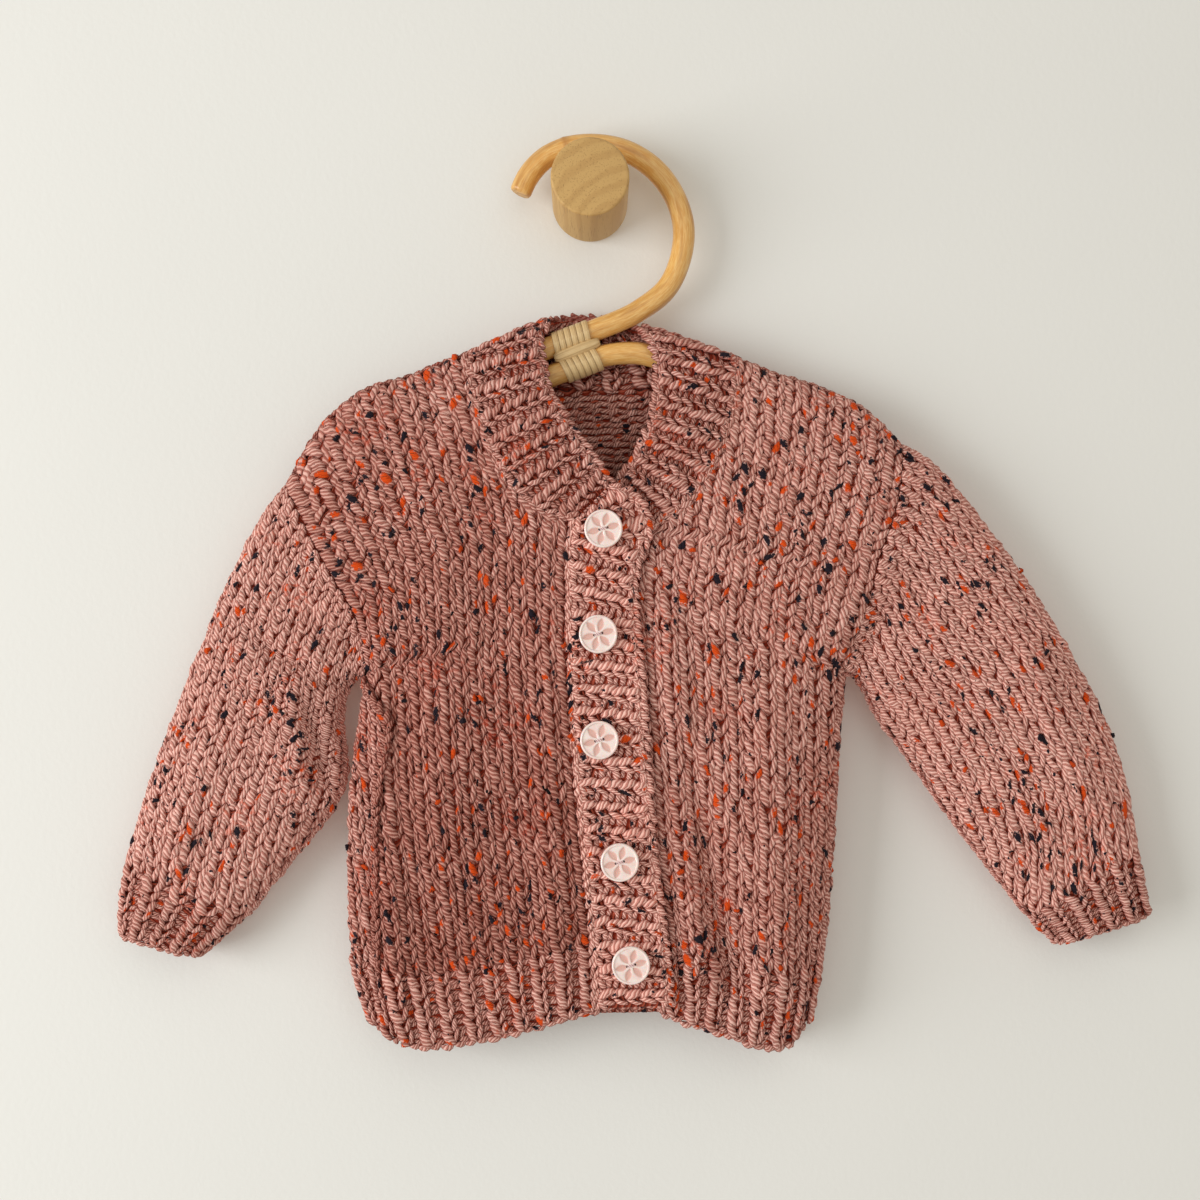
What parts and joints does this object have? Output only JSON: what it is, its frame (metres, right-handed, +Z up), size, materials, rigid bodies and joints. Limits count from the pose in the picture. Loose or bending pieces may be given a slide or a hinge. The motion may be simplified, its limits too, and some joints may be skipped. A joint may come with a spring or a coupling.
{
  "type": "baby cardigan on a cane hanger and wall peg",
  "caption": "Chunky hand-knitted baby cardigan, buttoned up, on a bent cane hanger that hangs from a round wooden wall peg.",
  "frame": {"origin": "centre of the peg's flat back face, on the wall", "axes": "+X along the wall to the wearer's left, +Y into the wall, +Z up; the part stands out from the wall towards -Y"},
  "size_m": [0.4705, 0.0414, 0.4144],
  "materials": {
    "knit": "dusty pink tweed stockinette",
    "rib": "dusty pink tweed rib",
    "button": "pearly pink",
    "cane": "golden cane, satin",
    "split_cane": "pale split cane, matt",
    "peg": "pale turned wood, matt"
  },
  "bodies": {
    "root": {"back": "knit", "front_right": "knit", "front_left": "knit", "sleeve_right": "knit", "sleeve_left": "knit", "rib_back": "rib", "rib_front_right": "rib", "rib_front_left": "rib", "cuff_right": "rib", "cuff_left": "rib", "neckband": "rib", "buttonhole_band": "rib", "button_band": "rib", "button_1": "button", "button_2": "button", "button_3": "button", "button_4": "button", "button_5": "button", "hanger_hook": "cane", "hanger_bow": "cane", "hanger_binding": "split_cane", "wall_peg": "peg"}
  },
  "joints": []
}
